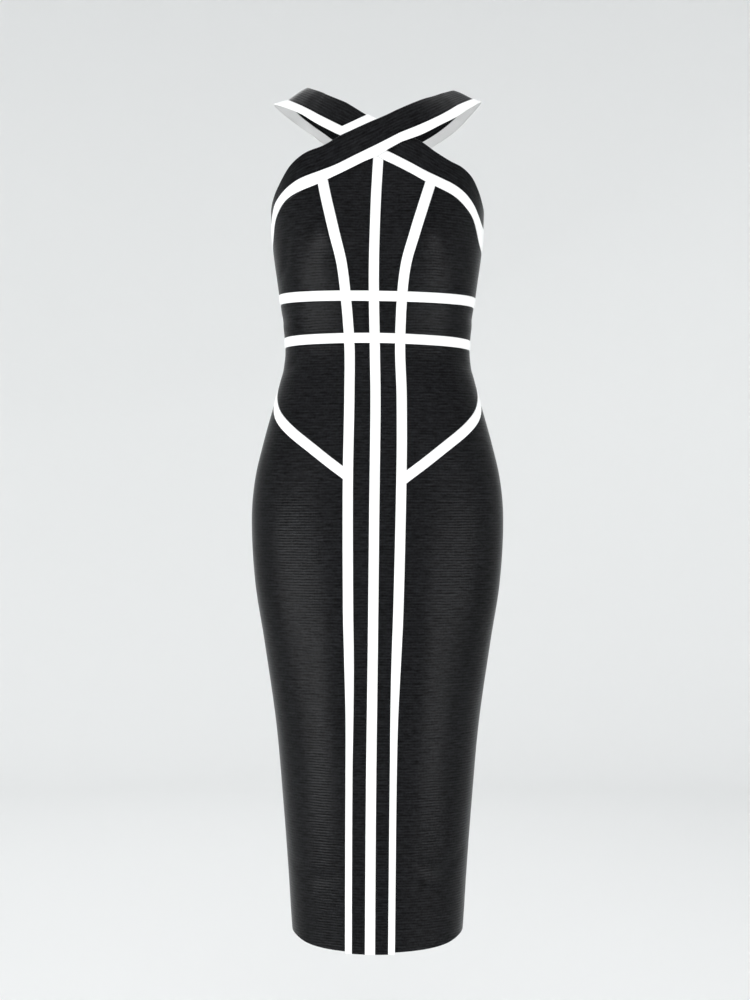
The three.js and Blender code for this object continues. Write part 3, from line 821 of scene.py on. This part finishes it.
def shoulder_stretch(strap, back, on_chest, up, lower, upper, rooms):
    """The stretch of a strap piece that goes on from the chest to the shoulder seam."""
    scale = np.array([-1 if strap["mirrored"] else 1, -SHOULDER_BACK_DEPTH if back else 1, 1]) * MILLIMETRE
    low_rail = np.array(strap["shoulder"][lower]) * scale
    high_rail = np.array(strap["shoulder"][upper]) * scale
    apart = np.linalg.norm(high_rail - low_rail, axis=1)
    rails = []
    for share, chest_row in zip(up[:, 0], on_chest):
        inset = (rooms[0] + (apart - rooms[1] - rooms[0]) * share) / apart
        rail = low_rail + (high_rail - low_rail) * inset[:, None]
        rail[-1, 1] += SEAM_GAP / 2 * (1 if back else -1)
        beyond = rail[-2] * np.array([1, -1, 1])
        rails.append(smooth_rail(np.vstack([chest_row[-2:], rail, beyond]), SHOULDER_STEPS))
    return np.array(rails)


def strap_piece(node, slot_name, strap, back, lower, upper):
    """One length of a band or border, from its side seam to the shoulder seam."""
    is_band = upper == "neck"
    width = BAND_WIDTH if is_band else STRIP_WIDTH
    rooms = (SEAM_GAP / 2, 0) if is_band else (0, SEAM_GAP / 2)
    up = shares_along(width)[:, None]
    turns = STRAP_STEP * np.arange(int((strap["chest"]["turn"][-1] + 90) / STRAP_STEP) + 1) - 90
    turns[0] += SIDE_GAP
    on_chest, chest_normal = chest_stretch(strap, back, turns, up, lower, upper, rooms)
    on_shoulder = shoulder_stretch(strap, back, on_chest, up, lower, upper, rooms)
    steps = on_shoulder.shape[1]
    grid = np.concatenate([on_chest, on_shoulder], axis=1)
    turned_over = strap["mirrored"] != back
    normal = unit(np.cross(np.gradient(grid, axis=1), grid[-1:] - grid[:1])) * (-1 if turned_over else 1)
    normal[:, :len(turns)] = chest_normal
    chest_lift = reading(strap["raised"], "turn", "share", turns)
    fade = np.clip(1 - np.arange(1, steps + 1) / (steps * LIFT_FADE), 0, 1)
    lift = STRAP_LIFT * np.concatenate([chest_lift, chest_lift[-1] * fade])
    crown = np.zeros(grid.shape[:2])
    if is_band:
        crown_rise = np.minimum(1, np.arange(steps) / CROWN_STEPS)
        crown[:, len(turns):] = BAND_CROWN * up * up * (1 - up) * CROWN_SCALE * crown_rise
    base = grid + normal * (lift + crown)[..., None]
    run = np.concatenate([[0], np.cumsum(np.linalg.norm(np.diff(grid[0], axis=0), axis=1))])
    uv = np.stack(np.broadcast_arrays(run[None, :], up * width), axis=-1)
    if turned_over:
        base, normal, uv = base[:, ::-1], normal[:, ::-1], uv[:, ::-1]
    sew_piece(node, slot_name, base, normal, uv)


for strap_name, strap in STRAPS.items():
    for face, back in (("front", False), ("back", True)):
        strap_piece(f"{strap_name}_strap_border_{face}", "white_knit", strap, back, "edge", "seam")
        strap_piece(f"{strap_name}_strap_band_{face}", "black_knit", strap, back, "seam", "neck")

# Crossing band
# A short white strip of the same knit is sewn right across the under strap, along the upper edge of
# the over strap. Its two ends are cut along the edges of the under strap.
CROSSING_WIDTH = 0.0114
CROSSING_LIFT = 0.0026
CROSSING_LEFT = table(("height", "turn"), [(-69, -31), (-63, -37.8)])
CROSSING_RIGHT = table(("height", "turn"), [(-47, -0.9), (-40.2, -10.5)])
over_neck = level(OVER_CHEST, "neck")
add_cloth(
    "crossing_band", "white_knit",
    left=lambda height: reading(CROSSING_LEFT, "height", "turn", height),
    right=lambda height: reading(CROSSING_RIGHT, "height", "turn", height),
    foot=beside_line(over_neck, SEAM_GAP),
    head=beside_line(over_neck, SEAM_GAP + CROSSING_WIDTH),
    middle=-0.05,
    lift=CROSSING_LIFT,
)
